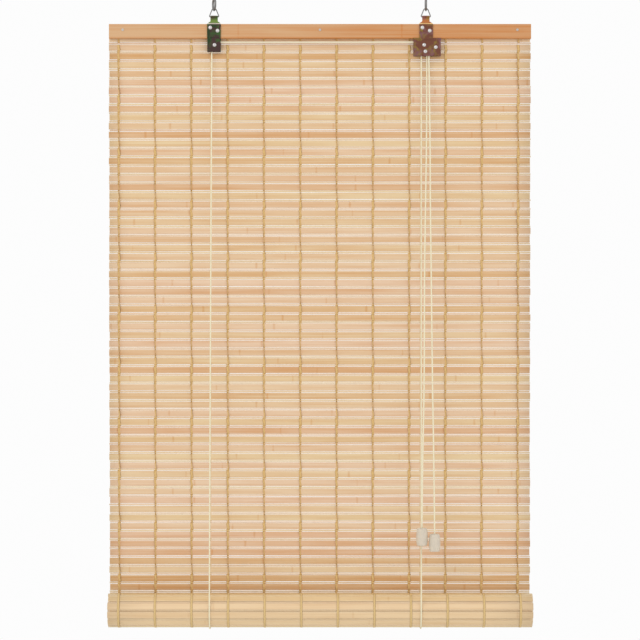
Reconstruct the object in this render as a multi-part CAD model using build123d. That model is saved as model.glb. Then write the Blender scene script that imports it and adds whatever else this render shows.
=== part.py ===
"""Bamboo roll-up blind hung from two ceiling hooks, partly rolled up. Millimetres.

X runs along the width, the room is towards -Y and +Z is up. The origin lies in the
ceiling plane, midway between the two hooks.
"""
from build123d import *
import math
import os

os.makedirs("parts", exist_ok=True)

# ---- blind ---------------------------------------------------------------------
blind_width = 800.0          # length of the battens
slat_length = 797.0          # length of slats and sticks
hanging_rows = 67            # rows of stick and slat from the rail's top to the roll
slat_width = 11.75
slat_thickness = 1.8
stick_diameter = 2.8
row_gap = 1.0                # between a slat and the stick beside it
batten_height = 27.5
batten_thickness = 10.0
batten_edge = 1.2            # rounding of a batten's outer edges
batten_clearance = 0.1       # between the two battens' slot and a stick
thread_count = 12
thread_spacing = 69.0
thread_drift = -2.8          # the threads sit a little to the left
thread_width = 2.4
thread_thickness = 0.5
thread_play = 0.05           # between a thread and the sticks it holds
roll_radius = 33.0
roll_pitch = 4.0             # from one turn of the roll to the next
roll_half_turns = 5
roll_drift = 2.0             # the roll has wandered a little to the right
roll_y = -10.5               # the roll hangs forward, so that the blind balances
rolled_thickness = 2.0       # the rolled mat, as one even ribbon
tail_radius = 5.0            # the mat's last turn, into the bottom battens' slot
tail_inset = 1.0             # the mat's end stops short of the slot's far side

# ---- hanging hardware ------------------------------------------------------------
hook_spacing = 402.0
rail_drop = 62.0             # from the ceiling to the top of the head rail
hook_wire = 4.0
hook_bowl_radius = 11.0      # to the wire's centre
hook_neck_radius = 5.0
hook_gap_angle = 50.0        # from the shank to the tip, round the bowl
hook_thread_length = 20.0
hook_thread_diameter = 3.4
hook_point = 4.0             # length of its pointed end
hook_tip_radius = 0.3
hook_collar_radius = 5.0
hook_collar_height = 1.6
hook_turn = {"left": 14.0, "right": 0.0}
ring_wire = 2.0
ring_width = 21.0            # outside, at the bottom bar's corners before their bends
ring_rise = 16.0             # from the bar's centre to the top's
ring_bar_height = 14.5       # of the bar's centre over the rail's top
ring_top_radius = 4.6
ring_corner_radius = 1.7
seat_gap = 0.3               # between round faces that bear on each other
loop_clearance = 0.3         # strap's loop round the ring's bar
strap_width = 25.6
strap_thickness = 1.2
strap_bend = 1.6             # bends, to the strip's middle
neck_width = 14.0
neck_gap = 0.4               # between the two legs above the rail
shoulder_low = 2.2           # the strap narrows to its neck between these heights
shoulder_high = 6.0
front_leg = {"left": 26.0, "right": 30.0}     # down from the rail's top
rear_leg = 38.0
anchor_drop = 33.0           # cord's hole in the rear leg, down from the rail's top
anchor_out = {"left": -7.4, "right": -9.0}    # the same hole, across from the middle
strap_rivets = [(-7.0, 7.0), (6.8, 12.8)]     # across from the strap's middle, down
rivet_radius = 1.5
rivet_head_radius = 3.5
rivet_head_height = 1.6
rivet_tail_height = 1.0
rivet_tail_radius = 2.625
rivet_bore_depth = 1.0       # of a tubular rivet, behind its head
rivet_bore_share = 0.7       # of its radius
nail_radius = 1.1
nail_head_radius = 2.4
nail_head_height = 0.8
nail_drop = 11.0
nail_places = [-374.0, 0.0, 374.0]
nail_grip = 8.0              # how far a nail goes into the far batten

# ---- pulleys and cord lock -------------------------------------------------------
front_plate = 1.0
back_plate = 0.8
pulley_side_gap = 0.3        # from a pulley to the plates on both sides
housing_top = 26.6           # the wide plate's top, down from the rail's top
housing_lid_gap = 0.3        # under the rail
plate_bend = 0.7
tongue_width = 24.8
tongue_top = 1.0
left_housing_half = 12.6
left_housing_end = 52.7      # down from the rail's top
lock_housing_left = 24.0     # from the right strap's middle
lock_housing_right = 28.0
lock_housing_end = 60.7
pulley_radius = 6.6
pulley_flange = 0.5
groove_play = 0.15           # a groove is this much wider than its cord
pulley_drop = 39.6           # axles, down from the rail's top
pulley_out = {"left": 1.1, "right": -3.6}     # axles, across from the strap's middle
cord_turn_radius = 5.3       # pulley's axis to the cord's middle
axle_radius = 1.6
axle_play = 0.06
guide_pin_radius = 1.5
guide_pin_drop = 52.0
cam_pivot_out = 18.4         # across from the right strap's middle
cam_pivot_drop = 44.0
cam_side_gap = 0.5
cam_hub_radius = 4.6
cam_nose_radius = 5.0
cam_play = 0.15              # between the teeth and the cords
cam_teeth = 6
cam_tooth_step = 20.0        # degrees round the nose
cam_tooth_depth = 0.6

# ---- cords and pulls -------------------------------------------------------------
cord_diameter = 2.8
cord_joint = 0.1             # between one length of cord and the next
sling_gap = 0.5
sling_out = {"left": -7.4, "right": -10.3}    # across from the strap's middle
anchor_knot_radius = 3.4
pull_knot_radius = 4.2
knob_height = 33.0
knob_top_radius = 9.8
knob_widest_radius = 11.0
knob_mouth_radius = 9.4
knob_shoulder = 2.5
knob_wall = 1.5
knob_top_wall = 2.2
knob_hole_radius = 1.7
knob_belly = 0.56            # how far down the knob is widest, as a share of its height
crossing_turn_drop = 54.0    # the crossing cord turns out below the cam's teeth
crossing_settle_drop = 59.5  # and down again before it leaves
cord_exit_drop = 63.5        # where the pulls begin, just under the lock
strand_join = 8.0            # the front strands begin this far under the pulleys' axles
crossing_exit_x = 206.4
# the two pulls below the lock: x, y and how far below the rail's top
pull_route = {
    "1": [(202.3, -17.0, 190.0), (199.2, -28.0, 350.0), (196.9, -37.0, 490.0),
          (196.3, -47.0, 690.0), (192.6, -55.5, 830.0), (191.4, -61.7, 951.5)],
    "2": [(208.4, -19.0, 200.0), (208.3, -27.0, 330.0), (209.8, -36.0, 470.0),
          (211.5, -46.5, 670.0), (213.9, -54.5, 820.0), (215.1, -61.7, 962.5)],
}

# ---- places worked out from them ---------------------------------------------------
through = 60.0               # a cut this long goes right through
rail_top = -rail_drop
rail_bottom = rail_top - batten_height
slot = stick_diameter + batten_clearance
batten_front = -slot / 2 - batten_thickness
batten_rear = slot / 2 + batten_thickness
row_pitch = slat_width + stick_diameter + 2 * row_gap
first_stick = rail_top - row_gap - stick_diameter / 2
hanging_length = hanging_rows * row_pitch + row_gap - batten_height
centre_radius = roll_radius - rolled_thickness / 2
to_centre = math.hypot(hanging_length, centre_radius)
roll_z = rail_bottom - math.sqrt(to_centre**2 - roll_y**2)
mat_lean = math.degrees(math.asin(roll_y / to_centre) + math.asin(centre_radius / to_centre))
strap_x = {"left": -hook_spacing / 2, "right": hook_spacing / 2}
pulley_width = 2 * (cord_diameter + groove_play) + 3 * pulley_flange
housing_gap = pulley_width + 2 * pulley_side_gap
cam_width = housing_gap - 2 * cam_side_gap
front_plate_y = batten_front - front_plate
back_plate_y = batten_front + housing_gap
pulley_y = batten_front + housing_gap / 2
lane = (pulley_width - pulley_flange) / 4
front_lane, rear_lane = pulley_y - lane, pulley_y + lane
bar_z = rail_top + ring_bar_height
ring_top = bar_z + ring_rise
bowl_z = ring_top - (ring_wire + hook_wire) / 2 - seat_gap + hook_bowl_radius
pulley_x = {side: strap_x[side] + pulley_out[side] for side in strap_x}
pulley_z = rail_top - pulley_drop
over_pulley = pulley_z + cord_turn_radius
up_x = {side: pulley_x[side] - cord_turn_radius for side in strap_x}
down_x = pulley_x["right"] + cord_turn_radius
pin_x = down_x - cord_diameter / 2 - seat_gap / 2 - guide_pin_radius
pin_z = rail_top - guide_pin_drop
cam_x, cam_z = strap_x["right"] + cam_pivot_out, rail_top - cam_pivot_drop
nose_x = down_x + cord_diameter / 2 + cam_play + cam_nose_radius
lock_exit = rail_top - cord_exit_drop
strand_top = pulley_z - strand_join
sling_radius = roll_radius + sling_gap + cord_diameter / 2
sling_x = {side: strap_x[side] + sling_out[side] for side in strap_x}
front_strand_y, rear_strand_y = roll_y - sling_radius, roll_y + sling_radius
anchor_y = batten_rear + strap_thickness + anchor_knot_radius
anchor_z = rail_top - anchor_drop
to_roll = Pos(roll_drift, roll_y, roll_z)


def block(x0, x1, y0, y1, z0, z1):
    centre = ((x0 + x1) / 2, (y0 + y1) / 2, (z0 + z1) / 2)
    return Pos(*centre) * Box(abs(x1 - x0), abs(y1 - y0), abs(z1 - z0))


def rod(start, end, radius):
    along = Vector(*end) - Vector(*start)
    bar = Cylinder(radius, along.length, align=(Align.CENTER, Align.CENTER, Align.MIN))
    return Plane(origin=start, z_dir=along) * bar


def rod_y(x, z, y0, y1, radius):
    return rod((x, y0, z), (x, y1, z), radius)


def flat_sweep(path, width, thickness):
    """A strip as wide as given along X, swept along a path in the YZ plane."""
    section = Plane(origin=path @ 0, x_dir=(1, 0, 0), z_dir=path % 0) * Rectangle(width, thickness)
    return sweep(section, path=path)


def round_sweep(path, radius):
    return sweep(Plane(origin=path @ 0, z_dir=path % 0) * Circle(radius), path=path)


def save(name, *shapes):
    pieces = [solid for shape in shapes for solid in shape.solids()]
    whole = pieces[0] if len(pieces) == 1 else Compound(children=pieces)
    export_step(whole, f"parts/{name}.step")


# ---- head rail: two battens with the mat's top rows between them ------------------------
def rail_holes():
    """What passes through the rail: the straps' rivets and the nails."""
    holes = [rod_y(x, rail_top - nail_drop, batten_front, slot / 2 + nail_grip, nail_radius)
             for x in nail_places]
    for side in strap_x:
        for across, down in strap_rivets:
            holes.append(rod_y(strap_x[side] + across, rail_top - down,
                               batten_front, batten_rear, rivet_radius))
    return holes


def batten(y0, y1, z0, z1, outer):
    """A batten whose two outer long edges are rounded."""
    bar = block(-blind_width / 2, blind_width / 2, y0, y1, z0, z1)
    long_edges = bar.edges().filter_by(Axis.X)
    return fillet(long_edges.sort_by(outer)[:2], batten_edge)


def nail(x, y, z, direction, length):
    """A nail whose head sits on the wood at the given place."""
    place = Plane(origin=(x, y, z), z_dir=direction)
    up = (Align.CENTER, Align.CENTER, Align.MIN)
    down = (Align.CENTER, Align.CENTER, Align.MAX)
    return place * (Cylinder(nail_radius, length, align=up)
                    + Cylinder(nail_head_radius, nail_head_height, align=down))


save("head_batten_front",
     batten(batten_front, -slot / 2, rail_bottom, rail_top, Axis.Y) - rail_holes())
save("head_batten_rear",
     batten(slot / 2, batten_rear, rail_bottom, rail_top, -Axis.Y) - rail_holes())
save("head_rail_nails", *[
    nail(x, batten_front, rail_top - nail_drop, (0, 1, 0), batten_thickness + slot + nail_grip)
    for x in nail_places])


# ---- hanging mat: slats and sticks held by threads, leaning a little to the rear ---------
def hung(shape):
    """Turns what hangs below the rail about the rail's bottom."""
    return Pos(0, 0, rail_bottom) * Rot(mat_lean, 0, 0) * Pos(0, 0, -rail_bottom) * shape


def slat(row):
    top = first_stick - stick_diameter / 2 - row_gap - row * row_pitch
    bar = block(-slat_length / 2, slat_length / 2, -slat_thickness / 2, slat_thickness / 2,
                top - slat_width, top)
    return bar - rail_holes() if top > rail_bottom else hung(bar)


def stick(row):
    z = first_stick - row * row_pitch
    bar = rod((-slat_length / 2, 0, z), (slat_length / 2, 0, z), stick_diameter / 2)
    return bar if z > rail_bottom else hung(bar)


def warp_thread(column, side):
    """One run of thread down the mat's front or rear."""
    x = thread_drift + (column - (thread_count - 1) / 2) * thread_spacing
    near = side * (stick_diameter / 2 + thread_play)
    return hung(block(x - thread_width / 2, x + thread_width / 2,
                      near, near + side * thread_thickness,
                      rail_bottom - hanging_length + row_gap, rail_bottom - row_gap / 2))


save("wide_slats", *[slat(row) for row in range(hanging_rows)])
save("round_sticks", *[stick(row) for row in range(hanging_rows)])
save("warp_threads", *[warp_thread(column, side)
                       for column in range(thread_count) for side in (-1, 1)])


# ---- roll: the mat's lower end, wound from the rear under the bottom battens -------------
def roll_path():
    """Half circles that shrink inwards, then the turn into the battens' slot."""
    edges, y = [], centre_radius
    for n in range(roll_half_turns):
        radius = centre_radius - n * roll_pitch / 2
        way = -1 if n % 2 == 0 else 1
        end = y + 2 * way * radius
        edges.append(ThreePointArc((0, y, 0), (0, y + way * radius, way * radius), (0, end, 0)))
        y = end
    corner = tail_radius * math.sqrt(0.5)
    edges.append(ThreePointArc((0, y, 0), (0, y + tail_radius - corner, corner),
                               (0, y + tail_radius, tail_radius)))
    edges.append(Line((0, y + tail_radius, tail_radius),
                      (0, batten_height / 2 - tail_inset, tail_radius)))
    return Wire(edges)


slot_top, slot_bottom = tail_radius + slot / 2, tail_radius - slot / 2
bottom_nail = {"y": 0.0, "z": slot_bottom - batten_thickness,
               "length": batten_thickness + slot + nail_grip}
bottom_nails = [nail(x, bottom_nail["y"], bottom_nail["z"], (0, 0, 1), bottom_nail["length"])
                for x in nail_places]
half_batten = batten_height / 2
save("rolled_mat", to_roll * (flat_sweep(roll_path(), slat_length, rolled_thickness) - bottom_nails))
save("bottom_batten_upper", to_roll * (batten(
    -half_batten, half_batten, slot_top, slot_top + batten_thickness, -Axis.Z) - bottom_nails))
save("bottom_batten_lower", to_roll * (batten(
    -half_batten, half_batten, slot_bottom - batten_thickness, slot_bottom, Axis.Z) - bottom_nails))
save("bottom_batten_nails", *[to_roll * piece for piece in bottom_nails])


# ---- hooks, rings and straps ---------------------------------------------------------------
def ceiling_hook(side):
    """A screw hook: thread, collar, shank, and a round bowl that opens at the upper front."""
    reach = hook_bowl_radius + hook_neck_radius
    shank_end = bowl_z + math.sqrt(reach**2 - hook_neck_radius**2)
    lean = math.asin(hook_neck_radius / reach)
    half = (math.pi / 2 - lean) / 2

    def on_neck(angle):
        return (0, hook_neck_radius * (1 - math.cos(angle)),
                shank_end - hook_neck_radius * math.sin(angle))

    def on_bowl(angle):
        return (0, hook_bowl_radius * math.sin(angle), bowl_z + hook_bowl_radius * math.cos(angle))

    tip = on_bowl(2 * math.pi - math.radians(hook_gap_angle))
    path = Wire([Line((0, 0, 0), (0, 0, shank_end)),
                 ThreePointArc(on_neck(0), on_neck(half), on_bowl(lean)),
                 ThreePointArc(on_bowl(lean), on_bowl(math.pi), tip)])
    point = Pos(0, 0, hook_thread_length - hook_point / 2) * Cone(
        hook_thread_diameter / 2, hook_tip_radius, hook_point)
    hook = (round_sweep(path, hook_wire / 2)
            + Pos(*tip) * Sphere(hook_wire / 2)
            + rod((0, 0, -hook_collar_height), (0, 0, 0), hook_collar_radius)
            + rod((0, 0, 0), (0, 0, hook_thread_length - hook_point), hook_thread_diameter / 2)
            + point)
    return Pos(strap_x[side], 0, 0) * Rot(0, 0, hook_turn[side]) * hook


def ring(side):
    """Bent wire: a straight bar in the strap's loop, two steep sides and a round top."""
    half = (ring_width - ring_wire) / 2
    rise = ring_rise - ring_top_radius
    side_lean = math.atan2(half, rise) - math.asin(ring_top_radius / math.hypot(half, rise))
    peak = bar_z + half / math.tan(side_lean)
    outline = FilletPolyline((-half, 0, bar_z), (0, 0, peak), (half, 0, bar_z), close=True,
                             radius=[ring_corner_radius, ring_top_radius, ring_corner_radius])
    return Pos(strap_x[side], 0, 0) * round_sweep(outline, ring_wire / 2)


def strap(side):
    """One steel strip folded over the ring's bar, with a leg down each face of the rail."""
    half = strap_thickness / 2
    loop = ring_wire / 2 + loop_clearance + half
    neck_y = neck_gap / 2 + half
    foot = bar_z - math.sqrt(loop**2 - neck_y**2)
    shoulder = rail_top + half

    def leg(y, way, end):
        path = FilletPolyline((0, y, end), (0, y, shoulder), (0, way * neck_y, shoulder),
                              (0, way * neck_y, foot), radius=strap_bend)
        return flat_sweep(path, strap_width, strap_thickness)

    curl = rod((-strap_width, 0, bar_z), (strap_width, 0, bar_z), loop + half)
    curl -= rod((-strap_width, 0, bar_z), (strap_width, 0, bar_z), loop - half)
    curl -= block(-strap_width, strap_width, -neck_gap / 2, neck_gap / 2, rail_top, bar_z)
    strip = (leg(front_plate_y - half, -1, rail_top - front_leg[side])
             + leg(batten_rear + half, 1, rail_top - rear_leg) + curl)
    wide, thin = strap_width / 2, neck_width / 2
    low, high = rail_top - rear_leg - strap_thickness, bar_z + strap_width
    shape = make_face(Polyline((-wide, low), (wide, low), (wide, rail_top + shoulder_low),
                               (thin, rail_top + shoulder_high), (thin, high), (-thin, high),
                               (-thin, rail_top + shoulder_high), (-wide, rail_top + shoulder_low),
                               close=True))
    strip &= extrude(Plane.XZ * shape, through, both=True)
    holes = [rod_y(across, rail_top - down, -through, through, rivet_radius)
             for across, down in strap_rivets]
    holes.append(rod_y(anchor_out[side], anchor_z, batten_rear, through,
                       cord_diameter / 2 + seat_gap))
    return Pos(strap_x[side], 0, 0) * (strip - holes)


def rivet(x, z, y_front, y_rear, radius, tubular=False):
    """A shank with a domed head at the front and a flat set head at the rear."""
    dome_radius = (rivet_head_radius**2 + rivet_head_height**2) / (2 * rivet_head_height)
    dome = Pos(x, y_front - rivet_head_height + dome_radius, z) * Sphere(dome_radius)
    wide = 2 * rivet_head_radius
    dome &= block(x - wide, x + wide, y_front - wide, y_front, z - wide, z + wide)
    tail = rod_y(x, z, y_rear, y_rear + rivet_tail_height, rivet_tail_radius)
    body = dome + rod_y(x, z, y_front, y_rear, radius) + tail
    bore = rod_y(x, z, y_front - wide, y_front + rivet_bore_depth, radius * rivet_bore_share)
    return body - bore if tubular else body


for side in strap_x:
    save(f"{side}_hook", ceiling_hook(side))
    save(f"{side}_ring", ring(side))
    save(f"{side}_strap", strap(side))
save("strap_rivets", *[
    rivet(strap_x[side] + across, rail_top - down, front_plate_y - strap_thickness,
          batten_rear + strap_thickness, rivet_radius)
    for side in strap_x for across, down in strap_rivets])


# ---- pulley housings: a tongue under the strap, and a plate folded round at the outer side ---
def housing(side, x0, x1, folded, z_end, pins):
    """Front plate, outer side and back plate; open above, below and at the inner side."""
    low, top = rail_top - z_end, rail_top - housing_top
    lid = rail_bottom - housing_lid_gap
    back_end = back_plate_y + back_plate
    side_wall = (folded, folded + back_plate) if folded == x0 else (folded - back_plate, folded)
    middle = strap_x[side]
    shell = (block(x0, x1, front_plate_y, batten_front, low, top)
             + block(x0, x1, back_plate_y, back_end, low, lid)
             + block(*side_wall, front_plate_y, back_end, low, lid))
    bends = shell.edges().filter_by(Axis.Z).filter_by(
        lambda edge: abs(edge.center().X - folded) < 0.01 and edge.length > 5)
    shell = fillet(bends, plate_bend) + block(
        middle - tongue_width / 2, middle + tongue_width / 2, front_plate_y, batten_front,
        top - 2, rail_top - tongue_top)
    holes = [rod_y(x, z, -through, 0, radius) for x, z, radius in pins]
    holes += [rod_y(middle + across, rail_top - down, -through, 0, rivet_radius)
              for across, down in strap_rivets]
    return shell - holes


def pulley(side, grooves):
    """A wheel with one or two grooves, running on a fixed axle."""
    x, half = pulley_x[side], pulley_width / 2
    bottom = cord_turn_radius - cord_diameter / 2 - seat_gap / 2
    groove = (pulley_width - (grooves + 1) * pulley_flange) / grooves
    wheel = rod_y(x, pulley_z, pulley_y - half, pulley_y + half, pulley_radius)
    for n in range(grooves):
        start = pulley_y - half + pulley_flange + n * (groove + pulley_flange)
        wheel -= (rod_y(x, pulley_z, start, start + groove, pulley_radius + 1)
                  - rod_y(x, pulley_z, start, start + groove, bottom))
    return wheel - rod_y(x, pulley_z, -through, 0, axle_radius + axle_play)


def locking_cam():
    """Hub and nose; the notched nose faces the two cords beside the guide pin."""
    arm = math.hypot(nose_x - cam_x, pin_z - cam_z)
    direction = math.degrees(math.atan2(pin_z - cam_z, nose_x - cam_x))
    nose = Pos(arm, 0) * Circle(cam_nose_radius)
    web = make_hull([*Circle(cam_hub_radius).edges(), *nose.edges()])
    for n in range(cam_teeth):
        swing = 180 - direction + (n - (cam_teeth - 1) / 2) * cam_tooth_step
        notch = Rot(0, 0, swing) * Pos(cam_nose_radius, 0) * Rectangle(
            cam_tooth_depth, cam_tooth_depth, rotation=45)
        web -= Pos(arm, 0) * notch
    cam = extrude(web, cam_width / 2, both=True) - Cylinder(axle_radius + axle_play, through)
    return Pos(cam_x, pulley_y, cam_z) * Rot(90, 0, 0) * Rot(0, 0, direction) * cam


left_pin = (pulley_x["left"], pulley_z, axle_radius)
lock_pin = (pulley_x["right"], pulley_z, axle_radius)
guide_pin = (pin_x, pin_z, guide_pin_radius)
cam_pin = (cam_x, cam_z, axle_radius)
save("left_pulley_housing", housing(
    "left", strap_x["left"] - left_housing_half, strap_x["left"] + left_housing_half,
    strap_x["left"] - left_housing_half, left_housing_end, [left_pin]))
save("lock_housing", housing(
    "right", strap_x["right"] - lock_housing_left, strap_x["right"] + lock_housing_right,
    strap_x["right"] + lock_housing_right, lock_housing_end, [lock_pin, guide_pin, cam_pin]))
for name, (x, z, radius) in {"left_pulley_axle": left_pin, "lock_pulley_axle": lock_pin,
                             "lock_guide_pin": guide_pin, "lock_cam_axle": cam_pin}.items():
    save(name, rivet(x, z, front_plate_y, back_plate_y + back_plate, radius, tubular=True))
save("left_pulley", pulley("left", 1))
save("lock_pulley", pulley("right", 2))
save("lock_cam", locking_cam())


# ---- cords -----------------------------------------------------------------------------------
def check_volume(name, tube, length):
    ratio = tube.volume / (math.pi * cord_diameter**2 / 4 * length)
    print(f"{name}: length {length:.1f}, volume over section times length {ratio:.4f}")


def straight_cord(name, start, end):
    """A tight strand, a hair short of what it meets at each end."""
    along = (Vector(*end) - Vector(*start)).normalized() * cord_joint
    tube = rod(tuple(Vector(*start) + along), tuple(Vector(*end) - along), cord_diameter / 2)
    check_volume(name, tube, math.dist(start, end) - 2 * cord_joint)
    save(name, tube)


def bent_cord(name, points, pulley_corners=()):
    """Straight runs and tangent arcs; the corners named go round a pulley."""
    radii = []
    for n in range(1, len(points) - 1):
        before = Vector(*points[n]) - Vector(*points[n - 1])
        after = Vector(*points[n + 1]) - Vector(*points[n])
        turn = math.radians(before.get_angle(after))
        free = 0.45 * min(before.length, after.length) / math.tan(turn / 2)
        radii.append(cord_turn_radius - 0.01 if n in pulley_corners else free)
    path = FilletPolyline(*points, radius=radii)
    tube = round_sweep(path, cord_diameter / 2)
    print(name, "radii", [round(radius, 1) for radius in radii])
    check_volume(name, tube, path.length)
    save(name, tube)


for side in strap_x:
    lane_y = pulley_y if side == "left" else rear_lane
    straight_cord(f"{side}_front_cord", (sling_x[side], front_strand_y, roll_z),
                  (up_x[side], lane_y, strand_top))
    straight_cord(f"{side}_back_cord", (sling_x[side], rear_strand_y, roll_z),
                  (strap_x[side] + anchor_out[side], anchor_y, anchor_z - anchor_knot_radius))
    half_turn = ThreePointArc((sling_x[side], front_strand_y, roll_z),
                              (sling_x[side], roll_y, roll_z - sling_radius),
                              (sling_x[side], rear_strand_y, roll_z))
    sling = round_sweep(half_turn, cord_diameter / 2)
    check_volume(f"{side}_sling", sling, half_turn.length)
    save(f"{side}_sling", sling)

save("cord_anchor_knots", *[
    Pos(strap_x[side] + anchor_out[side], anchor_y, anchor_z) * Sphere(anchor_knot_radius)
    + rod_y(strap_x[side] + anchor_out[side], anchor_z, batten_rear - 2, anchor_y, cord_diameter / 2)
    for side in strap_x])
bent_cord("crossing_cord", [
    (up_x["left"], pulley_y, strand_top), (up_x["left"], pulley_y, over_pulley),
    (down_x, front_lane, over_pulley), (down_x, front_lane, rail_top - crossing_turn_drop),
    (crossing_exit_x, front_lane, rail_top - crossing_settle_drop),
    (crossing_exit_x, front_lane, lock_exit)], pulley_corners=(1, 2))
bent_cord("right_lock_cord", [
    (up_x["right"], rear_lane, strand_top), (up_x["right"], rear_lane, over_pulley),
    (down_x, rear_lane, over_pulley), (down_x, rear_lane, lock_exit)], pulley_corners=(1, 2))


# ---- pulls: a bell-shaped knob on each cord, held by a knot inside ---------------------------
def knob():
    belly = -knob_height * knob_belly
    rim = -knob_height + knob_wall / 2
    corner = knob_shoulder * math.sqrt(0.5)
    flat = knob_top_radius - knob_shoulder
    inner_top = -knob_top_wall - knob_wall / 2
    edges = [
        Line((knob_hole_radius, 0), (flat, 0)),
        ThreePointArc((flat, 0), (flat + corner, corner - knob_shoulder),
                      (knob_top_radius, -knob_shoulder)),
        ThreePointArc((knob_top_radius, -knob_shoulder), (knob_widest_radius, belly),
                      (knob_mouth_radius, rim)),
        ThreePointArc((knob_mouth_radius, rim), (knob_mouth_radius - knob_wall / 2, -knob_height),
                      (knob_mouth_radius - knob_wall, rim)),
        ThreePointArc((knob_mouth_radius - knob_wall, rim), (knob_widest_radius - knob_wall, belly),
                      (knob_top_radius - knob_wall, inner_top)),
        Line((knob_top_radius - knob_wall, inner_top), (flat, -knob_top_wall)),
        Line((flat, -knob_top_wall), (knob_hole_radius, -knob_top_wall)),
        Line((knob_hole_radius, -knob_top_wall), (knob_hole_radius, 0)),
    ]
    return revolve(Plane.XZ * make_face(edges), Axis.Z)


def pull_knot():
    """The knot bears on the rim of the knob's hole, and its tail comes up through it."""
    seat = math.sqrt(pull_knot_radius**2 - knob_hole_radius**2) + cord_joint
    centre = (0, 0, -knob_top_wall - seat)
    return Pos(*centre) * Sphere(pull_knot_radius) + rod(centre, (0, 0, 0), cord_diameter / 2)


for number, start in {"1": (down_x, rear_lane), "2": (crossing_exit_x, front_lane)}.items():
    x, y, down = pull_route[number][-1]
    knob_top = rail_top - down
    save(f"knob_{number}", Pos(x, y, knob_top) * knob())
    save(f"knot_{number}", Pos(x, y, knob_top) * pull_knot())
    points = [(px, py, rail_top - drop) for px, py, drop in pull_route[number][:-1]]
    bent_cord(f"pull_cord_{number}",
              [(*start, lock_exit - cord_joint), *points, (x, y, knob_top + cord_joint)])

print(f"mat: {batten_height + hanging_length + roll_path().length:.0f} long; roll centre z {roll_z:.3f}")
print(f"lean {mat_lean:.3f}; knob axes and rest: bowl z {bowl_z:.2f}, bar z {bar_z}, ring top {ring_top}")
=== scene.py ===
import math
import random

import bmesh
import bpy
from mathutils import Matrix, Vector


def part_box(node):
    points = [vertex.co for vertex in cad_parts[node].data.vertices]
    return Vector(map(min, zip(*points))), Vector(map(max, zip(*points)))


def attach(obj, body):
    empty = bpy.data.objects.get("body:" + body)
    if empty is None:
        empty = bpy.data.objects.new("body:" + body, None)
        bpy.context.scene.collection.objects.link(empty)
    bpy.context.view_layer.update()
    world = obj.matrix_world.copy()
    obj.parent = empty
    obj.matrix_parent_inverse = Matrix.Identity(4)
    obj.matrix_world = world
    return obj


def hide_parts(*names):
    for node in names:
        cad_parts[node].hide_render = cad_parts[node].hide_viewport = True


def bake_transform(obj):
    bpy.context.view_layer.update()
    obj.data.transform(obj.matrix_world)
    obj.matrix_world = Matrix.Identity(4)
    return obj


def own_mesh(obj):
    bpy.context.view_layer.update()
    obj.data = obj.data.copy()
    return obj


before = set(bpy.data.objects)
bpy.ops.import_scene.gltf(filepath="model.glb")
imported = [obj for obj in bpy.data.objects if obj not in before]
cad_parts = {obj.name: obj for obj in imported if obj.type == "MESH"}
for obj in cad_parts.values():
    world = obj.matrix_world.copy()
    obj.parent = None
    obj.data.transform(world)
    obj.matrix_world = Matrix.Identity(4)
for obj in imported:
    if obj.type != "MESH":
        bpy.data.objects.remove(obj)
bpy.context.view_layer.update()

# ---- Camera and studio ------------------------------------------------------------
# The blind hangs square to the camera, which stands back at mid height. It hangs clear
# of a pale floor, in soft even light from above and both sides.
camera = bpy.data.objects.new("camera", bpy.data.cameras.new("camera"))
bpy.context.collection.objects.link(camera)
camera.location = (0.0, -5.3, -0.623)
camera.rotation_euler = (math.radians(90), 0, 0)
camera.data.lens = 157.0
camera.data.sensor_width = 36.0
camera.data.clip_end = 60.0
bpy.context.scene.camera = camera
bpy.context.scene.view_settings.view_transform = "Standard"


def srgb(red, green, blue):
    """A colour given as 0 to 255 on a screen, as the shaders' linear colour."""
    parts = [channel / 255 for channel in (red, green, blue)]
    linear = [c / 12.92 if c <= 0.04045 else ((c + 0.055) / 1.055) ** 2.4 for c in parts]
    return (*linear, 1.0)


def softbox(name, place, target, width, height, watts):
    light = bpy.data.lights.new(name, "AREA")
    light.shape, light.size, light.size_y, light.energy = "RECTANGLE", width, height, watts
    lamp = bpy.data.objects.new(name, light)
    bpy.context.collection.objects.link(lamp)
    lamp.location = place
    lamp.rotation_euler = (Vector(target) - Vector(place)).to_track_quat("-Z", "Y").to_euler()


softbox("key", (-2.2, -3.4, 1.6), (0, 0, -0.6), 2.4, 2.4, 34)
softbox("fill", (2.8, -3.0, 0.2), (0, 0, -0.7), 2.2, 2.6, 9)
softbox("back", (0.5, 3.2, 1.2), (0, 0, -0.6), 2.4, 2.0, 20)
world = bpy.data.worlds.new("studio")
world.use_nodes = True
world.node_tree.nodes["Background"].inputs["Color"].default_value = (1, 1, 1, 1)
world.node_tree.nodes["Background"].inputs["Strength"].default_value = 0.98
bpy.context.scene.world = world


def finished_mesh(name, bm, material):
    """A bmesh as an object at the origin, with its faces turned outwards."""
    bmesh.ops.recalc_face_normals(bm, faces=bm.faces)
    mesh = bpy.data.meshes.new(name)
    bm.to_mesh(mesh)
    bm.free()
    mesh.materials.append(material)
    piece = bpy.data.objects.new(name, mesh)
    bpy.context.collection.objects.link(piece)
    return piece


def smooth(piece):
    for polygon in piece.data.polygons:
        polygon.use_smooth = True
    return piece


floor_material = bpy.data.materials.new("pale_floor")
floor_material.use_nodes = True
floor_shader = floor_material.node_tree.nodes["Principled BSDF"]
floor_shader.inputs["Base Color"].default_value = srgb(236, 235, 232)
floor_shader.inputs["Roughness"].default_value = 0.8
floor = bmesh.new()
bmesh.ops.create_circle(floor, cap_ends=True, segments=96, radius=4.5)
bmesh.ops.translate(floor, vec=(0, 0, -3.2), verts=floor.verts)
finished_mesh("studio_floor", floor, floor_material)

# ---- Bamboo: its grain, and the head rail's two battens ------------------------------
# Two planed bamboo battens, stained orange-brown and varnished, with fine dark fibres
# along their length and a node mark here and there. The mat's top is nailed between them.


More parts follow.
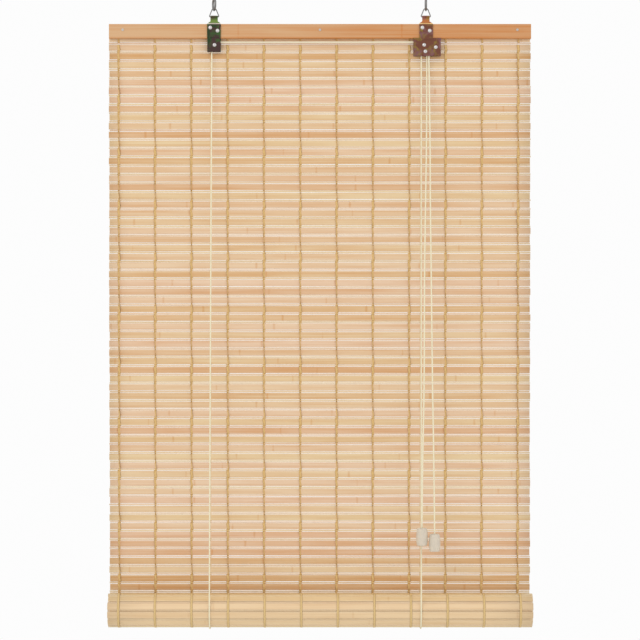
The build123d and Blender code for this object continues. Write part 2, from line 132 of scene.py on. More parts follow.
def new_material(name):
    """A new material, its node tree and its Principled shader."""
    material = bpy.data.materials.new(name)
    material.use_nodes = True
    return material, material.node_tree, material.node_tree.nodes["Principled BSDF"]


def math_in(tree, operation, *values):
    """A math node's result; each value is a number or another node's output."""
    node = tree.nodes.new("ShaderNodeMath")
    node.operation = operation
    for index, value in enumerate(values):
        if isinstance(value, (int, float)):
            node.inputs[index].default_value = value
        else:
            tree.links.new(value, node.inputs[index])
    return node.outputs[0]


def map_range(tree, value, low, high, to_low=0.0, to_high=1.0):
    """The value, moved from one range to another and kept inside it."""
    node = tree.nodes.new("ShaderNodeMapRange")
    for name, number in (("From Min", low), ("From Max", high), ("To Min", to_low),
                         ("To Max", to_high)):
        node.inputs[name].default_value = number
    tree.links.new(value, node.inputs["Value"])
    return node.outputs["Result"]


def bump(tree, shader, height, strength, distance):
    relief = tree.nodes.new("ShaderNodeBump")
    relief.inputs["Strength"].default_value = strength
    relief.inputs["Distance"].default_value = distance
    tree.links.new(height, relief.inputs["Height"])
    tree.links.new(relief.outputs["Normal"], shader.inputs["Normal"])


def bamboo_grain_group():
    """Fibres along X and dark node rings, from two colours; one tone and shift per slat, and a painted
    highlight on its rounded edges.
    """
    group = bpy.data.node_groups.new("bamboo_grain", "ShaderNodeTree")
    face = group.interface
    for name in ("Light", "Dark"):
        face.new_socket(name, in_out="INPUT", socket_type="NodeSocketColor")
    for name, value in (("Tone", 0.3), ("Shift", 0.0), ("Fibre", 0.5), ("Node spacing", 0.31),
                        ("Node mark", 0.5), ("Pink", 0.5), ("Edge highlight", 0.0)):
        socket = face.new_socket(name, in_out="INPUT", socket_type="NodeSocketFloat")
        socket.default_value = value
    face.new_socket("Color", in_out="OUTPUT", socket_type="NodeSocketColor")
    face.new_socket("Height", in_out="OUTPUT", socket_type="NodeSocketFloat")
    face.new_socket("Roughness", in_out="OUTPUT", socket_type="NodeSocketFloat")
    nodes, links = group.nodes, group.links
    given, result = nodes.new("NodeGroupInput"), nodes.new("NodeGroupOutput")
    place = nodes.new("ShaderNodeTexCoord")
    along = nodes.new("ShaderNodeSeparateXYZ")
    links.new(place.outputs["Object"], along.inputs[0])

    def math_node(operation, *values):
        return math_in(group, operation, *values)

    def stretched_noise(stretch, detail):
        shifted = nodes.new("ShaderNodeCombineXYZ")
        links.new(math_node("MULTIPLY_ADD", along.outputs[0], stretch[0], given.outputs["Shift"]),
                  shifted.inputs[0])
        links.new(math_node("MULTIPLY", along.outputs[1], stretch[1]), shifted.inputs[1])
        links.new(math_node("MULTIPLY", along.outputs[2], stretch[2]), shifted.inputs[2])
        noise = nodes.new("ShaderNodeTexNoise")
        noise.inputs["Scale"].default_value = 1.0
        noise.inputs["Detail"].default_value = detail
        links.new(shifted.outputs[0], noise.inputs["Vector"])
        return noise.outputs["Fac"]

    fibres = stretched_noise((9.0, 1500.0, 1500.0), 4)
    clouds = stretched_noise((7.0, 60.0, 60.0), 2)
    streaks = stretched_noise((4.0, 420.0, 420.0), 2)
    far = math_node("ADD", along.outputs[0], math_node("MULTIPLY", given.outputs["Shift"], 0.37))
    turn = math_node("FRACT", math_node("DIVIDE", far, given.outputs["Node spacing"]))
    from_ring = math_node("ABSOLUTE", math_node("SUBTRACT", turn, 0.5))
    wobble = math_node("MULTIPLY", math_node("SUBTRACT", clouds, 0.5), 0.02)
    ring = math_node("SUBTRACT", 1.0, math_node("SMOOTH_MIN", 1.0, math_node(
        "MULTIPLY", math_node("ADD", from_ring, wobble), 130.0), 0.1))
    ring = math_node("MULTIPLY", math_node("MAXIMUM", ring, 0.0), given.outputs["Node mark"])
    dark_part = math_node("MULTIPLY", math_node("SUBTRACT", fibres, 0.42), given.outputs["Fibre"])
    patch = math_node("MULTIPLY", math_node("SUBTRACT", clouds, 0.5), 0.8)
    patch = math_node("MULTIPLY_ADD", math_node("SUBTRACT", streaks, 0.5), 1.1, patch)
    amount = math_node("ADD", math_node("ADD", given.outputs["Tone"], patch),
                       math_node("ADD", dark_part, ring))
    mix = nodes.new("ShaderNodeMix")
    mix.data_type, mix.clamp_factor = "RGBA", True
    links.new(amount, mix.inputs["Factor"])
    links.new(given.outputs["Light"], mix.inputs[6])
    links.new(given.outputs["Dark"], mix.inputs[7])
    tint = nodes.new("ShaderNodeMix")
    tint.data_type = "RGBA"
    tint.inputs[6].default_value = (0.985, 1.0, 0.9, 1)
    tint.inputs[7].default_value = (1.01, 0.965, 1.06, 1)
    links.new(given.outputs["Pink"], tint.inputs["Factor"])
    tinted = nodes.new("ShaderNodeMix")
    tinted.data_type, tinted.blend_type = "RGBA", "MULTIPLY"
    tinted.inputs["Factor"].default_value = 1.0
    links.new(mix.outputs[2], tinted.inputs[6])
    links.new(tint.outputs[2], tinted.inputs[7])
    # Painted highlight: a slat's rounded edges are mixed halfway towards a pale colour.
    pale = nodes.new("ShaderNodeMix")
    pale.data_type = "RGBA"
    links.new(math_node("MULTIPLY", given.outputs["Edge highlight"], 0.5), pale.inputs["Factor"])
    links.new(tinted.outputs[2], pale.inputs[6])
    pale.inputs[7].default_value = srgb(234, 212, 180)
    links.new(pale.outputs[2], result.inputs["Color"])
    links.new(math_node("ADD", fibres, ring), result.inputs["Height"])
    links.new(math_node("MULTIPLY_ADD", fibres, 0.25, 0.34), result.inputs["Roughness"])
    return group


bamboo_grain = bamboo_grain_group()


def bamboo(name, light, dark, tone=None, fibre=0.5, node_mark=0.5):
    """Bamboo with the shared grain; with no tone given, each slat carries its own."""
    material, tree, shader = new_material(name)
    grain = tree.nodes.new("ShaderNodeGroup")
    grain.node_tree = bamboo_grain
    grain.inputs["Light"].default_value = light
    grain.inputs["Dark"].default_value = dark
    grain.inputs["Fibre"].default_value = fibre
    grain.inputs["Node mark"].default_value = node_mark
    if tone is None:
        own = tree.nodes.new("ShaderNodeAttribute")
        own.attribute_name = "slat"
        parts = tree.nodes.new("ShaderNodeSeparateColor")
        tree.links.new(own.outputs["Color"], parts.inputs[0])
        tree.links.new(parts.outputs[0], grain.inputs["Tone"])
        shift = tree.nodes.new("ShaderNodeMath")
        shift.operation = "MULTIPLY"
        shift.inputs[1].default_value = 40.0
        tree.links.new(parts.outputs[1], shift.inputs[0])
        tree.links.new(shift.outputs[0], grain.inputs["Shift"])
        tree.links.new(parts.outputs[1], grain.inputs["Pink"])
        tree.links.new(parts.outputs[2], grain.inputs["Edge highlight"])
    else:
        grain.inputs["Tone"].default_value = tone
    tree.links.new(grain.outputs["Color"], shader.inputs["Base Color"])
    tree.links.new(grain.outputs["Roughness"], shader.inputs["Roughness"])
    bump(tree, shader, grain.outputs["Height"], 0.15, 0.0004)
    return material


def repaint(material, *nodes):
    for node in nodes:
        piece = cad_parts[node]
        piece.data.materials.clear()
        piece.data.materials.append(material)


rail_low, rail_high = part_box("head_batten_front")
rail_bottom, rail_top = rail_low[2], rail_high[2]
batten_bamboo = bamboo("stained_batten", srgb(204, 164, 120), srgb(192, 122, 58),
                       tone=0.1, fibre=0.5, node_mark=0.3)
batten_nodes = batten_bamboo.node_tree
batten_place = batten_nodes.nodes.new("ShaderNodeTexCoord")
batten_along = batten_nodes.nodes.new("ShaderNodeSeparateXYZ")
batten_nodes.links.new(batten_place.outputs["Object"], batten_along.inputs[0])
stain = map_range(batten_nodes, batten_along.outputs[0], -0.25, 0.15, 0.1, 0.62)
# Painted shade: the tone darkens over the batten's lowest 3 mm, towards its bottom edge, added on top of
# the stain.
painted_shade_foot = map_range(batten_nodes, batten_along.outputs[2], rail_bottom + 0.0012,
                      rail_bottom + 0.0030, 0.5, 0.0)
batten_stain_and_shade = math_in(batten_nodes, "ADD", stain, painted_shade_foot)
for node in batten_nodes.nodes:
    if node.type == "GROUP":
        batten_nodes.links.new(batten_stain_and_shade, node.inputs["Tone"])
repaint(batten_bamboo, "head_batten_front", "head_batten_rear",
        "bottom_batten_upper", "bottom_batten_lower")

# ---- Hanging mat: wide slats -------------------------------------------------------------
# Split bamboo slats, planed flat and rounded at their edges, all cut to one length but not
# quite evenly. They are pale straw, some darker, and a few are stained orange.
slat_width = 0.01175
slat_thickness = 0.0018
stick_diameter = 0.0028
row_gap = 0.001
slat_length = 0.797
worn_slat = 0.0125       # drawn a little wider than the CAD slat, as in the photo
row_pitch = slat_width + stick_diameter + 2 * row_gap
roll_low, roll_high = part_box("rolled_mat")
roll_radius = 0.033
roll_centre = Vector(((roll_low[0] + roll_high[0]) / 2, (roll_low[1] + roll_high[1]) / 2,
                      roll_low[2] + roll_radius))
mat_line = roll_radius - 0.001


def straight_to(centre, radius):
    """How far the mat leans back, and how long it is, from the rail to a round roll's rear."""
    reach = math.hypot(centre.y, centre.z - rail_bottom)
    return (math.asin(centre.y / reach) + math.asin(radius / reach),
            math.sqrt(reach**2 - radius**2))


def leaning(angle):
    return Matrix.Translation((0, 0, rail_bottom)) @ Matrix.Rotation(angle, 4, "X") \
        @ Matrix.Translation((0, 0, -rail_bottom))


mat_lean, hanging_length = straight_to(roll_centre, mat_line)
first_slat = rail_top - row_gap - stick_diameter - row_gap - slat_width / 2
first_stick = rail_top - row_gap - stick_diameter / 2
row_count = round((rail_top - rail_bottom + hanging_length - row_gap) / row_pitch)
lean = leaning(mat_lean)
luck = random.Random(7)
orange_rows = (3, 12, 39, 63, 64)


def slat_tone(row):
    """How dark a slat is: most are alike, some are darker, and a few are orange."""
    tone = luck.choice((0.12, 0.2, 0.25, 0.3, 0.4, 0.5))
    return 0.68 if row in orange_rows else tone + luck.uniform(-0.06, 0.06)


def straight_bar(cuts, sides):
    """A round bar along X with rings along it, which each slat or stick is shaped from."""
    bm = bmesh.new()
    bmesh.ops.create_cone(bm, cap_ends=True, segments=sides, radius1=1, radius2=1,
                          depth=slat_length, matrix=Matrix.Rotation(math.pi / 2, 4, "Y"))
    rails = [e for e in bm.edges if abs((e.verts[0].co - e.verts[1].co).x) > 0.1]
    bmesh.ops.subdivide_edges(bm, edges=rails, cuts=cuts - 1)
    mesh = bpy.data.meshes.new("straight_bar")
    bm.to_mesh(mesh)
    bm.free()
    return mesh


long_bar, short_bar = straight_bar(16, 12), straight_bar(8, 12)


def add_bar(bm, matrix, bar, width, thickness, flatness, bow, tone, reach=0.0):
    """One slat or stick, squared off by its flatness, with a slight bow and uneven ends."""
    layer = bm.verts.layers.float_color.get("slat") or bm.verts.layers.float_color.new("slat")
    count = len(bm.verts)
    bm.from_mesh(bar)
    bm.verts.ensure_lookup_table()
    ends = [luck.uniform(0.0012, 0.0028) + reach, luck.uniform(0.0002, 0.0018)]
    phase, shift = luck.uniform(0, 2 * math.pi), luck.random()
    for vert in bm.verts[count:]:
        x, y, z = vert.co
        # The third channel marks a slat's rounded edges for the painted highlight.
        vert[layer] = (tone, shift, 1.0 if abs(z) > 0.7 and flatness < 1 else 0.0, 1)
        y = math.copysign(abs(y) ** flatness, y) * thickness / 2
        z = math.copysign(abs(z) ** flatness, z) * width / 2
        z += bow * math.sin(7.5 * x / slat_length + phase)
        if abs(x) > 0.49 * slat_length:
            x += math.copysign(ends[x > 0], x)
        vert.co = matrix @ Vector((x, y, z))


slat_bamboo = bamboo("slat_bamboo", srgb(222, 195, 159), srgb(202, 150, 96),
                     fibre=0.4, node_mark=0.4)
hanging_slats, rail_rows = bmesh.new(), bmesh.new()
for row in range(row_count):
    z = first_slat - row * row_pitch
    inside = z + slat_width / 2 > rail_bottom
    here = Matrix.Translation((0, 0, z))
    add_bar(rail_rows if inside else hanging_slats, here if inside else lean @ here, long_bar,
            worn_slat, slat_thickness, 0.4, luck.uniform(-0.0002, 0.0002), slat_tone(row))


def shorten(piece):
    """Gives the piece a mesh of its own."""
    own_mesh(piece)


slats = smooth(finished_mesh("mat_slats", hanging_slats, slat_bamboo))
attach(slats, "head_rail")
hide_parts("wide_slats")
shorten(slats)

# ---- Hanging mat: round sticks -------------------------------------------------------------
# Thin turned bamboo sticks lie between the slats and keep them apart. They are a little
# paler than the slats, and not quite straight.
stick_bamboo = bamboo("stick_bamboo", srgb(228, 204, 168), srgb(210, 172, 126),
                      fibre=0.4, node_mark=0.15)
hanging_sticks = bmesh.new()
for row in range(row_count):
    z = first_stick - row * row_pitch
    inside = z > rail_bottom
    here = Matrix.Translation((0, 0, z))
    add_bar(rail_rows if inside else hanging_sticks, here if inside else lean @ here, long_bar,
            stick_diameter, stick_diameter, 1.0, luck.uniform(-0.0003, 0.0003),
            luck.uniform(0.0, 0.4))
sticks = smooth(finished_mesh("mat_sticks", hanging_sticks, stick_bamboo))
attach(sticks, "head_rail")
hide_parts("round_sticks")
shorten(sticks)
mat_head = finished_mesh("mat_rows_in_rail", rail_rows, slat_bamboo)
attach(mat_head, "head_rail")

# ---- Hanging mat: warp threads ----------------------------------------------------------------
# Twelve pairs of golden-brown cotton threads. The two threads of a pair change places in
# each gap, so that they hold every slat and stick between them.
thread_count, thread_spacing, thread_drift = 12, 0.069, -0.0028
thread_x = [thread_drift + (n - (thread_count - 1) / 2) * thread_spacing
            for n in range(thread_count)]


def add_tube(bm, line, width, depth, sides):
    """A tube with an oval section along a line of points; its UV map holds its lay."""
    lay = bm.loops.layers.uv.get("lay") or bm.loops.layers.uv.new("lay")
    before = set(bm.faces)
    rings = len(line) - 1
    made = bmesh.ops.create_grid(bm, x_segments=rings, y_segments=sides, size=0.5)["verts"]
    spot = {v: (round((v.co.x + 0.5) * rings), round((v.co.y + 0.5) * sides)) for v in made}
    run = [0.0]
    for a, b in zip(line, line[1:]):
        run.append(run[-1] + (b - a).length)
    side = Vector((1, 0, 0))
    frames = []
    for n, point in enumerate(line):
        ahead = (line[min(n + 1, rings)] - line[max(n - 1, 0)]).normalized()
        side = (side - ahead * side.dot(ahead)).normalized()
        frames.append((point, side.copy(), ahead.cross(side)))
    for face in set(bm.faces) - before:
        for loop in face.loops:
            ring, turn = spot[loop.vert]
            loop[lay].uv = (turn / sides, run[ring])
        face.smooth = True
    for vert, (ring, turn) in spot.items():
        point, across, out = frames[ring]
        angle = 2 * math.pi * turn / sides
        vert.co = point + across * math.cos(angle) * width / 2 + out * math.sin(angle) * depth / 2
    bmesh.ops.remove_doubles(bm, verts=made, dist=1e-7)


def twisted(name, light, dark, pitch, strands):
    """Twisted fibre: slanting strands from the lay, darker between them as painted shade in the grooves,
    with fine fluff.
    """
    material, tree, shader = new_material(name)
    lay = tree.nodes.new("ShaderNodeUVMap")
    lay.uv_map = "lay"
    parts = tree.nodes.new("ShaderNodeSeparateXYZ")
    tree.links.new(lay.outputs[0], parts.inputs[0])

    def math_node(operation, *values):
        return math_in(tree, operation, *values)

    turns = math_node("ADD", math_node("MULTIPLY", parts.outputs[0], float(strands)),
                      math_node("DIVIDE", parts.outputs[1], pitch))
    strand = math_node("ABSOLUTE", math_node("SINE", math_node("MULTIPLY", turns, math.pi)))
    place = tree.nodes.new("ShaderNodeTexCoord")
    fluff = tree.nodes.new("ShaderNodeTexNoise")
    fluff.inputs["Scale"].default_value = 2600.0
    tree.links.new(place.outputs["Object"], fluff.inputs["Vector"])
    height = math_node("MULTIPLY_ADD", fluff.outputs["Fac"], 0.3, strand)
    # The dark colour in the grooves between the strands is painted shade.
    mix = tree.nodes.new("ShaderNodeMix")
    mix.data_type = "RGBA"
    mix.inputs[6].default_value = dark
    mix.inputs[7].default_value = light
    tree.links.new(math_node("POWER", strand, 0.5), mix.inputs["Factor"])
    tree.links.new(mix.outputs[2], shader.inputs["Base Color"])
    bump(tree, shader, height, 0.6, 0.0003)
    shader.inputs["Roughness"].default_value = 0.85
    return material


golden_thread = twisted("golden_thread", srgb(216, 180, 118), srgb(190, 150, 92), 0.0030, 2)
thread_width, thread_depth = 0.0048, 0.0008
over_slat = slat_thickness / 2 + thread_depth / 2 + 0.0001
over_stick = stick_diameter / 2 + thread_depth / 2 + 0.0001


def thread_line(x, side, rows, lean):
    """Down the mat: before a slat, behind the next stick, and so on."""
    line = []
    for row in rows:
        slat_z = first_slat - row * row_pitch
        stick_z = slat_z - slat_width / 2 - row_gap - stick_diameter / 2
        for z, y, across in ((slat_z + slat_width * 0.42, over_slat, 0.16), (slat_z, over_slat, 0.0),
                             (slat_z - slat_width * 0.42, over_slat, -0.16),
                             (slat_z - slat_width * 0.5, over_slat * 0.6, -0.2),
                             (stick_z + stick_diameter * 0.5, -over_slat * 0.4, -0.16),
                             (stick_z, -over_stick, 0.0),
                             (stick_z - stick_diameter * 0.5, -over_slat * 0.4, 0.16)):
            line.append(lean @ Vector((x + side * across * thread_width, side * y, z)))
    return line[:-2] if lean == upright else line


upright = Matrix.Identity(4)
hanging_rows = [row for row in range(row_count)
                if first_slat - row * row_pitch + slat_width / 2 < rail_bottom]
threads, head_threads = bmesh.new(), bmesh.new()
for x in thread_x:
    for side in (-1, 1):
        add_tube(threads, thread_line(x, side, hanging_rows[:-1], lean),
                 thread_width, thread_depth, 6)
        add_tube(head_threads, thread_line(x, side, range(hanging_rows[0]), upright),
                 thread_width, thread_depth, 6)
warp = finished_mesh("mat_threads", threads, golden_thread)
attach(warp, "head_rail")
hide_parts("warp_threads")
shorten(warp)
head_warp = finished_mesh("mat_threads_in_rail", head_threads, golden_thread)
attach(head_warp, "head_rail")

# ---- Roll: the mat's lower end ------------------------------------------------------------------
# The same slats, sticks and threads, wound inwards on the bottom battens. A slat stays
# straight across, so that the roll is slightly faceted, and its pale rear face shows.
roll_pitch = 0.004
half_turns = 5
thread_step = 0.0035     # between the points of a wound thread
thread_out = 0.00125     # from the middle of the wound mat to its threads
packed_slat = 0.0131     # drawn wider than the CAD slat, to close the roll's rows
rear_bamboo = bamboo("slat_rear_bamboo", srgb(225, 199, 153), srgb(202, 163, 110),
                     fibre=0.4, node_mark=0.3)
pale_thread = twisted("rear_thread", srgb(216, 186, 130), srgb(196, 162, 106), 0.0030, 2)


def on_roll(run):
    """Centre of the ribbon and its outward direction, that far along the roll."""
    edge = mat_line
    for n in range(half_turns):
        radius = mat_line - n * roll_pitch / 2
        way = -1 if n % 2 == 0 else 1
        if run <= math.pi * radius:
            angle = run / radius
            middle = edge + way * radius
            out = Vector((0, -way * math.cos(angle), way * math.sin(angle)))
            return roll_centre + Vector((0, middle, 0)) + out * radius, out
        run -= math.pi * radius
        edge += 2 * way * radius
    return None, None


def roll_matrix(centre, out):
    """Local Y is the slat's thickness and local Z its width."""
    ahead = Vector((1, 0, 0)).cross(out)
    turned = Matrix(((1, 0, 0), (0, out.y, ahead.y), (0, out.z, ahead.z))).to_4x4()
    return Matrix.Translation(centre) @ turned


roll_length = sum(math.pi * (mat_line - n * roll_pitch / 2) for n in range(half_turns))
roll_slats, roll_sticks, roll_threads = bmesh.new(), bmesh.new(), bmesh.new()
run = row_gap
while run < roll_length - row_pitch:
    centre, out = on_roll(run + stick_diameter / 2)
    add_bar(roll_sticks, roll_matrix(centre - out * 0.0004, out), short_bar, stick_diameter,
            stick_diameter, 1.0, 0.0, luck.uniform(0.0, 0.4), reach=0.002)
    centre, out = on_roll(run + stick_diameter + row_gap + slat_width / 2)
    add_bar(roll_slats, roll_matrix(centre - out * 0.0003, out), short_bar, packed_slat,
            slat_thickness, 0.4, 0.0, luck.choice((0.0, 0.1, 0.15, 0.3)), reach=0.002)
    run += row_pitch
for x in thread_x:
    for side in (-1, 1):
        line = []
        for n in range(int(roll_length / thread_step)):
            centre, out = on_roll(n * thread_step)
            line.append(centre + out * side * thread_out + Vector((x, 0, 0)))
        add_tube(roll_threads, line, thread_width * 0.9, 0.0005, 6)
for name, bm, material, slot_name in (("roll_slats", roll_slats, rear_bamboo, "bamboo_slat"),
                                      ("roll_sticks", roll_sticks, stick_bamboo, "bamboo_stick"),
                                      ("roll_threads", roll_threads, pale_thread, "warp_thread")):
    piece = smooth(finished_mesh(name, bm, material))
    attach(piece, "roll")
    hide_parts("rolled_mat")

# ---- Straps and housings -----------------------------------------------------------------------
# Pressed steel, passivated and lacquered: the left pair is bottle green, the right pair is
# plum with an olive and gold sheen. The finish shifts in colour like oil over the metal.


def lacquered(name, base, patches, sheen, neck, bend_highlight):
    """Three clouded colours, another on the narrow neck, and a painted highlight at the bend."""
    material, tree, shader = new_material(name)
    place = tree.nodes.new("ShaderNodeTexCoord")
    height = tree.nodes.new("ShaderNodeSeparateXYZ")
    tree.links.new(place.outputs["Object"], height.inputs[0])

    def noise(scale, detail):
        node = tree.nodes.new("ShaderNodeTexNoise")
        node.inputs["Scale"].default_value = scale
        node.inputs["Detail"].default_value = detail
        node.inputs["Distortion"].default_value = 0.8
        tree.links.new(place.outputs["Object"], node.inputs["Vector"])
        return node.outputs["Fac"]

    def masked(below, colour, mask):
        mix = tree.nodes.new("ShaderNodeMix")
        mix.data_type = "RGBA"
        tree.links.new(mask, mix.inputs["Factor"])
        tree.links.new(below, mix.inputs[6])
        mix.inputs[7].default_value = colour
        return mix.outputs[2]

    def ramp(value, stops):
        node = tree.nodes.new("ShaderNodeValToRGB")
        while len(node.color_ramp.elements) < len(stops):
            node.color_ramp.elements.new(0.5)
        for element, (spot, level) in zip(node.color_ramp.elements, stops):
            element.position = spot
            element.color = (level, level, level, 1)
        tree.links.new(value, node.inputs["Fac"])
        return node.outputs["Color"]

    above = map_range(tree, height.outputs[2], -0.070, -0.050)
    start = tree.nodes.new("ShaderNodeRGB")
    start.outputs[0].default_value = base
    colour = masked(start.outputs[0], patches, ramp(noise(55.0, 1.0), [(0.42, 0), (0.55, 1)]))
    colour = masked(colour, sheen, ramp(noise(85.0, 2.0), [(0.5, 0), (0.66, 1)]))
    colour = masked(colour, neck, ramp(above, [(0.5, 0), (0.6, 1), (0.78, 0.9), (1.0, 0.15)]))
    # Painted highlight: a bright band where the strap bends over the rail top.
    bend_highlight_mask = ramp(above, [(0.36, 0), (0.42, 1), (0.5, 1), (0.56, 0)])
    tree.links.new(masked(colour, bend_highlight, bend_highlight_mask), shader.inputs["Base Color"])
    bump(tree, shader, noise(700.0, 3.0), 0.12, 0.0003)
    shader.inputs["Metallic"].default_value = 0.75
    shader.inputs["Roughness"].default_value = 0.3
    shader.inputs["Coat Weight"].default_value = 0.25
    return material


# The last colour of each finish is the painted highlight at the bend.
repaint(lacquered("bottle_green_steel", srgb(34, 56, 24), srgb(66, 44, 40), srgb(52, 86, 34),
                  srgb(112, 138, 62), srgb(226, 214, 200)), "left_strap", "left_pulley_housing")
repaint(lacquered("plum_steel", srgb(124, 82, 84), srgb(110, 64, 46), srgb(134, 108, 46),
                  srgb(186, 112, 58), srgb(250, 206, 136)), "right_strap", "lock_housing")

# ---- Plain metal: hooks, rings, nails, rivets, cam -------------------------------------------------
# Zinc-plated wire and pressings, lightly brushed by handling; the rivets are nickel bright.


def plated(name, colour, roughness, mottling):
    material, tree, shader = new_material(name)
    place = tree.nodes.new("ShaderNodeTexCoord")
    spots = tree.nodes.new("ShaderNodeTexNoise")
    spots.inputs["Scale"].default_value = 420.0
    spots.inputs["Detail"].default_value = 5.0
    tree.links.new(place.outputs["Object"], spots.inputs["Vector"])
    mottled = map_range(tree, spots.outputs["Fac"], 0.0, 1.0, roughness - mottling,
                        roughness + mottling)
    tree.links.new(mottled, shader.inputs["Roughness"])
    bump(tree, shader, spots.outputs["Fac"], 0.08, 0.0001)
    shader.inputs["Base Color"].default_value = colour
    shader.inputs["Metallic"].default_value = 1.0
    return material


zinc = plated("zinc_plate", srgb(128, 126, 124), 0.3, 0.12)
nickel = plated("nickel_rivet", srgb(206, 202, 200), 0.24, 0.08)
dull_steel = plated("dull_steel", srgb(190, 182, 174), 0.4, 0.1)
repaint(zinc, "left_hook", "right_hook", "left_ring", "right_ring", "lock_cam")
repaint(dull_steel, "head_rail_nails", "bottom_batten_nails")
repaint(nickel, "strap_rivets", "left_pulley_axle", "lock_pulley_axle", "lock_guide_pin",
        "lock_cam_axle")

# The hooks' wood-screw thread, rolled on to the shank above the collar.
thread_pitch, thread_core, thread_crest = 0.0016, 0.0016, 0.0023
hook_x = {"left": -0.201, "right": 0.201}
for side, x in hook_x.items():
    helix = bmesh.new()
    profile = [helix.verts.new((x + r, 0, 0.001 + z)) for r, z in
               ((thread_core, 0.0), (thread_crest, thread_pitch * 0.35), (thread_core, thread_pitch * 0.7))]
    edges = [helix.edges.new(pair) for pair in zip(profile, profile[1:])]
    turns = 9
    bmesh.ops.spin(helix, geom=profile + edges, cent=(x, 0, 0), axis=(0, 0, 1),
                   dvec=(0, 0, thread_pitch / 20), angle=2 * math.pi * turns, steps=20 * turns,
                   use_merge=False)
    bmesh.ops.recalc_face_normals(helix, faces=helix.faces)
    piece = smooth(finished_mesh(f"{side}_hook_thread", helix, zinc))
    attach(piece, "hooks")

# ---- Pulleys ---------------------------------------------------------------------------------------
# Moulded white nylon wheels, a little yellowed, on the tubular rivets.


def moulded(name, colour, roughness, grain):
    material, tree, shader = new_material(name)
    place = tree.nodes.new("ShaderNodeTexCoord")
    haze = tree.nodes.new("ShaderNodeTexNoise")
    haze.inputs["Scale"].default_value = grain
    tree.links.new(place.outputs["Object"], haze.inputs["Vector"])
    mix = tree.nodes.new("ShaderNodeMix")
    mix.data_type = "RGBA"
    mix.inputs[6].default_value = colour
    mix.inputs[7].default_value = tuple(c * 0.82 for c in colour[:3]) + (1.0,)
    tree.links.new(haze.outputs["Fac"], mix.inputs["Factor"])
    tree.links.new(mix.outputs[2], shader.inputs["Base Color"])
    bump(tree, shader, haze.outputs["Fac"], 0.1, 0.0001)
    shader.inputs["Roughness"].default_value = roughness
    return material, shader


nylon, _ = moulded("yellowed_nylon", srgb(232, 226, 206), 0.42, 500.0)
repaint(nylon, "left_pulley", "lock_pulley")

# ---- Lift cords ---------------------------------------------------------------------------------------
# One cream cotton cord on each side: knotted behind the rail, down behind the mat, under
# the roll and up its front to the pulleys. The strands are tight.
cotton = twisted("cream_cotton", srgb(240, 232, 203), srgb(196, 182, 146), 0.0028, 3)
cord_width = 0.0028
cord_turn = 0.0053                                  # from a pulley's axle to its cord
pulley_at = {"left": (-0.1999, -0.00745), "right": (0.1974, -0.005725)}     # axle x, cord y
anchor_out = {"left": -0.0074, "right": -0.009}     # from the hook to the knot behind the rail
anchor_y = 0.01605


def strand(name, node, top, bottom, body="head_rail"):
    bm = bmesh.new()
    line = [Vector(top).lerp(Vector(bottom), n / 24) for n in range(25)]
    add_tube(bm, line, cord_width, cord_width, 10)
    piece = finished_mesh(name, bm, cotton)
    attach(piece, body)
    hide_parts(node)
    shorten(piece)


def middle_x(node):
    low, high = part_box(node)
    return (low[0] + high[0]) / 2


for side, (pulley, lane) in pulley_at.items():
    sling_low, sling_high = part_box(f"{side}_sling")
    front_y, rear_y = sling_low[1] + cord_width / 2, sling_high[1] - cord_width / 2
    sling_x = middle_x(f"{side}_sling")
    front_top = (pulley - cord_turn, lane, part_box(f"{side}_front_cord")[1][2])
    strand(f"{side}_front_strand", f"{side}_front_cord", front_top,
           (sling_x, front_y, roll_centre.z))
    back_top = (hook_x[side] + anchor_out[side], anchor_y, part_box(f"{side}_back_cord")[1][2])
    strand(f"{side}_back_strand", f"{side}_back_cord", back_top, (sling_x, rear_y, roll_centre.z))
    bm = bmesh.new()
    radius = (rear_y - front_y) / 2
    line = [roll_centre + Vector((sling_x - roll_centre.x, -radius * math.cos(a),
                                  -radius * math.sin(a)))
            for a in (math.pi * n / 32 for n in range(33))]
    add_tube(bm, line, cord_width, cord_width, 10)
    piece = finished_mesh(f"{side}_sling_cord", bm, cotton)
    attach(piece, "roll_cradle")
    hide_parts(f"{side}_sling")

plain_cotton, _ = moulded("cream_cotton_at_pulleys", srgb(240, 232, 203), 0.85, 1400.0)
repaint(plain_cotton, "crossing_cord", "right_lock_cord", "cord_anchor_knots")

# ---- Pulls --------------------------------------------------------------------------------------------
# The two cord ends, knotted inside bell-shaped knobs of frosted plastic. The knots show
# through as darker cores.
pull_routes = {
    "1": [(0.2027, -0.005725, -0.1256), (0.2023, -0.017, -0.252), (0.1992, -0.028, -0.412),
          (0.1969, -0.037, -0.552), (0.1963, -0.047, -0.752), (0.1926, -0.0555, -0.892),
          (0.1914, -0.0617, -1.0134)],
    "2": [(0.2064, -0.009175, -0.1256), (0.2084, -0.019, -0.262), (0.2083, -0.027, -0.392),
          (0.2098, -0.036, -0.532), (0.2115, -0.0465, -0.732), (0.2139, -0.0545, -0.882),
          (0.2151, -0.0617, -1.0244)],
}


def smooth_line(points):
    """Points along the NURBS spline that the route controls."""
    curve = bpy.data.curves.new("route", "CURVE")
    curve.dimensions = "3D"
    spline = curve.splines.new("NURBS")
    spline.points.add(len(points) - 1)
    for spot, point in zip(spline.points, points):
        spot.co = (*point, 1.0)
    spline.order_u, spline.use_endpoint_u, spline.resolution_u = 3, True, 12
    guide = bpy.data.objects.new("route", curve)
    bpy.context.collection.objects.link(guide)
    line = [v.co.copy() for v in bpy.data.meshes.new_from_object(guide).vertices]
    bpy.data.objects.remove(guide)
    return line


frosted, frosted_shader = moulded("frosted_plastic", srgb(243, 231, 212), 0.38, 300.0)
frosted_shader.inputs["Transmission Weight"].default_value = 0.3
frosted_shader.inputs["IOR"].default_value = 1.3


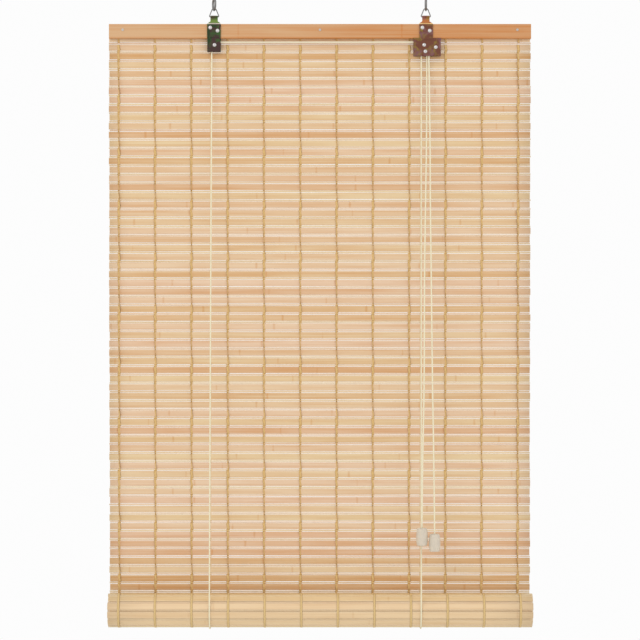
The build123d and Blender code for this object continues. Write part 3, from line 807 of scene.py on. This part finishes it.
def knot_line(centre, radius):
    """A cord's overhand knot: a trefoil drawn up tight."""
    line = []
    for n in range(49):
        a = 2 * math.pi * n / 48
        x, y = math.sin(a) + 2 * math.sin(2 * a), math.cos(a) - 2 * math.cos(2 * a)
        z = -math.sin(3 * a)
        line.append(Vector(centre) + Vector((x, y, z * 1.4)) * radius / 4.6)
    return line


for number, route in pull_routes.items():
    line = smooth_line(route)
    bm = bmesh.new()
    add_tube(bm, line, cord_width, cord_width, 10)
    pull = finished_mesh(f"pull_cord_{number}_twist", bm, cotton)
    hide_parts(f"pull_cord_{number}")
    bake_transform(pull)

    x, y, top = route[-1][0], route[-1][1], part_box(f"knob_{number}")[1][2]
    top_wall = 0.0022
    outline = [(0.0017, 0), (0.0075, 0), (0.0090, -0.0008), (0.0098, -0.0025), (0.0104, -0.008),
               (0.0109, -0.0145), (0.0110, -0.0195), (0.0106, -0.026), (0.0098, -0.0308),
               (0.0092, -0.0328), (0.0086, -0.0330), (0.0080, -0.0322), (0.0088, -0.028),
               (0.0095, -0.0195), (0.0090, -0.011), (0.0083, -0.0035), (0.0073, -top_wall),
               (0.0017, -top_wall), (0.0017, 0)]
    bell = bmesh.new()
    rim = [bell.verts.new((x + r, y, top + z)) for r, z in outline[:-1]]
    edges = [bell.edges.new(pair) for pair in zip(rim, rim[1:] + rim[:1])]
    bmesh.ops.spin(bell, geom=rim + edges, cent=(x, y, top), axis=(0, 0, 1),
                   angle=2 * math.pi, steps=48, use_merge=True)
    bmesh.ops.remove_doubles(bell, verts=bell.verts, dist=1e-6)
    bmesh.ops.recalc_face_normals(bell, faces=bell.faces)
    knob = smooth(finished_mesh(f"knob_{number}_bell", bell, frosted))
    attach(knob, f"pull_{number}")
    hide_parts(f"knob_{number}")

    bm = bmesh.new()
    add_tube(bm, knot_line((x, y, top - 0.0066), 0.0044), cord_width * 0.95, cord_width * 0.95, 8)
    add_tube(bm, [Vector((x, y, top - 0.006 + 0.006 * n / 3)) for n in range(4)],
             cord_width, cord_width, 8)
    knot = finished_mesh(f"knot_{number}_tied", bm, cotton)
    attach(knot, f"pull_{number}")
    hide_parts(f"knot_{number}")

    run = sum((b - a).length for a, b in zip(line, line[1:]))
